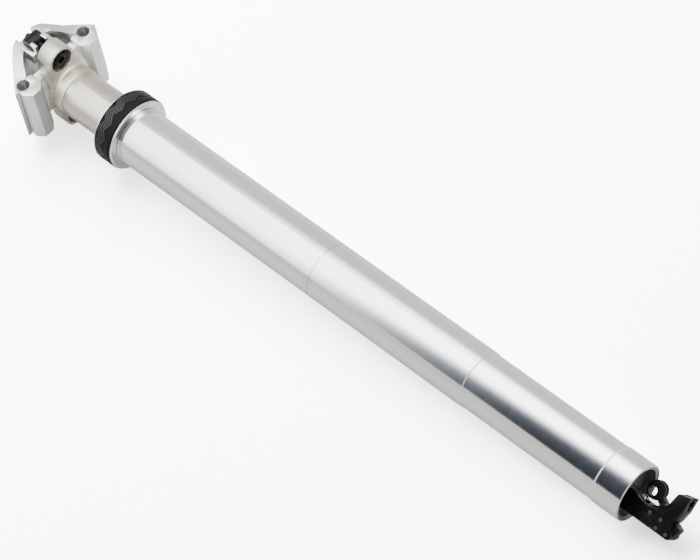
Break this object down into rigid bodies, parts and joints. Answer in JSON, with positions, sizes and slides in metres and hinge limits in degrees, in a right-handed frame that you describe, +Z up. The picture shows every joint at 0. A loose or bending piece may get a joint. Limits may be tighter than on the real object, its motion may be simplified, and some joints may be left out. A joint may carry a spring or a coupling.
{
  "type": "dropper seatpost",
  "caption": "Telescopic bicycle seatpost shown fully dropped, with a two-bolt saddle rail clamp, a sealing collar and a cable lever at the foot.",
  "frame": {"origin": "on the post's axis at the lower end of the collar's nose, where the plain insertion tube begins: the height of the top of the frame's seat tube with the post pushed fully in", "axes": "+Z up the post towards the saddle, +X forward along the saddle rails, +Y to the rider's left"},
  "size_m": [0.0608, 0.0584, 0.4469],
  "materials": {
    "tube_alloy": "satin anodised",
    "blasted_alloy": "bead-blasted anodised",
    "polished_alloy": "polished",
    "black_alloy": "black anodised",
    "silicone_band": "matte",
    "seal_rubber": "matte",
    "bumper_rubber": "matte",
    "foam": "open-cell",
    "bush_plastic": "smooth",
    "key_brass": "machined",
    "ground_steel": "ground",
    "plain_steel": "machined",
    "black_steel": "black oxide"
  },
  "bodies": {
    "lower_body": {"lower_tube": "tube_alloy", "collar": "polished_alloy", "collar_band": "silicone_band", "foam_ring": "foam", "wiper_seal": "seal_rubber", "upper_bush": "bush_plastic", "base_insert": "black_alloy", "rod_nut": "plain_steel", "bottom_bumper": "bumper_rubber", "piston_rod": "ground_steel", "piston": "black_alloy", "piston_seal": "seal_rubber", "actuator_bracket": "black_alloy", "bracket_dowels": "plain_steel", "lever_pin": "black_steel"},
    "upper_body": {"stanchion": "blasted_alloy", "head": "blasted_alloy", "lower_bush": "bush_plastic", "guide_keys": "key_brass", "snap_ring": "plain_steel", "cartridge_tube": "black_alloy", "gland": "black_alloy", "rod_seal": "seal_rubber", "topout_bumper": "bumper_rubber", "cartridge_cap": "black_alloy", "fill_screw": "plain_steel"},
    "gas_piston": {"floating_piston": "bush_plastic", "floating_seal": "seal_rubber"},
    "saddle_clamp": {"lower_clamp": "polished_alloy", "upper_clamp": "polished_alloy"},
    "front_nut_body": {"front_nut": "black_steel"},
    "rear_nut_body": {"rear_nut": "black_steel"},
    "front_bolt_body": {"front_bolt": "black_steel", "front_washer": "black_steel"},
    "rear_bolt_body": {"rear_bolt": "black_steel", "rear_washer": "black_steel"},
    "lever_body": {"release_lever": "black_alloy"},
    "pin_body": {"release_pin": "ground_steel", "valve_poppet": "ground_steel"}
  },
  "joints": [
    {"name": "post_slide", "type": "slide", "parent": "lower_body", "child": "upper_body", "axis": [0, 0, 1], "range_m": [0, 0.225]},
    {"name": "clamp_tilt", "type": "hinge", "parent": "upper_body", "child": "saddle_clamp", "pos_m": [0, 0, 0.0738], "axis": [0, 1, 0], "range_deg": [-8, 8]},
    {"name": "front_nut_turn", "type": "hinge", "parent": "saddle_clamp", "child": "front_nut_body", "pos_m": [0.0222, 0, 0.0738], "axis": [0, 1, 0], "range_deg": [-8, 8]},
    {"name": "rear_nut_turn", "type": "hinge", "parent": "saddle_clamp", "child": "rear_nut_body", "pos_m": [-0.0222, 0, 0.0738], "axis": [0, 1, 0], "range_deg": [-8, 8]},
    {"name": "front_bolt_run", "type": "slide", "parent": "front_nut_body", "child": "front_bolt_body", "axis": [0, 0, 1], "range_m": [-0.0032, 0.0032]},
    {"name": "rear_bolt_run", "type": "slide", "parent": "rear_nut_body", "child": "rear_bolt_body", "axis": [0, 0, 1], "range_m": [-0.0032, 0.0032]},
    {"name": "gas_piston_slide", "type": "slide", "parent": "upper_body", "child": "gas_piston", "axis": [0, 0, 1], "range_m": [-0.064, 0]},
    {"name": "lever_pull", "type": "hinge", "parent": "lower_body", "child": "lever_body", "pos_m": [0.00103, 0.00147, -0.3515], "axis": [-0.8192, 0.5736, 0], "range_deg": [0, 20]},
    {"name": "release_pin_slide", "type": "slide", "parent": "lower_body", "child": "pin_body", "axis": [0, 0, 1], "range_m": [0, 0.0014], "stiffness_N_per_m": 1500}
  ],
  "couplings": [
    {"joint": "front_nut_turn", "follows": "clamp_tilt", "ratio": -1},
    {"joint": "rear_nut_turn", "follows": "clamp_tilt", "ratio": -1},
    {"joint": "front_bolt_run", "follows": "clamp_tilt", "m_per_rad": 0.0222},
    {"joint": "rear_bolt_run", "follows": "clamp_tilt", "m_per_rad": -0.0222},
    {"joint": "gas_piston_slide", "follows": "post_slide", "ratio": -0.283},
    {"joint": "lever_pull", "follows": "release_pin_slide", "rad_per_m": 250}
  ]
}
